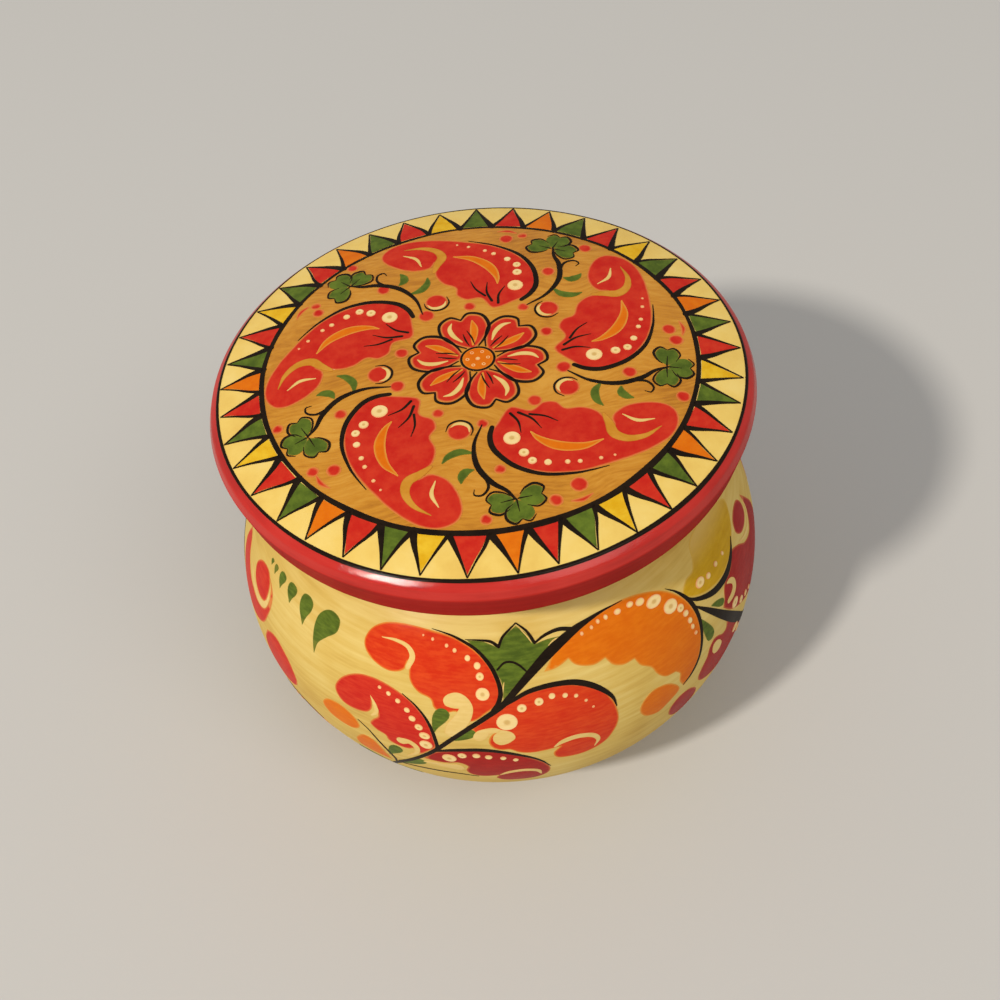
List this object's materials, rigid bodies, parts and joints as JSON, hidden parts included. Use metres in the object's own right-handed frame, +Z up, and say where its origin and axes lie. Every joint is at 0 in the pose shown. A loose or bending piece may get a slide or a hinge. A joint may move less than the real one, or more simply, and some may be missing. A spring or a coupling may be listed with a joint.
{
  "type": "lidded jar",
  "caption": "Round-bellied turned wooden jar with a short neck and a lift-off lid whose spigot drops into the mouth.",
  "frame": {"origin": "centre of the flat base, where the jar stands", "axes": "+Z up along the turning axis, through the middle of the lid; -Y is the side that faces the viewer"},
  "size_m": [0.0982, 0.0982, 0.0806],
  "materials": {
    "bowl_lacquered_wood": "ivory ground painted with red, orange and green leaves under glossy lacquer",
    "lid_lacquered_wood": "red edge, ivory border and ochre middle under glossy lacquer"
  },
  "bodies": {
    "bowl": {"bowl": "bowl_lacquered_wood"},
    "lid": {"lid": "lid_lacquered_wood"}
  },
  "joints": [
    {"name": "lid_lift", "type": "slide", "parent": "bowl", "child": "lid", "axis": [0, 0, 1], "range_m": [0, 0.05]}
  ]
}
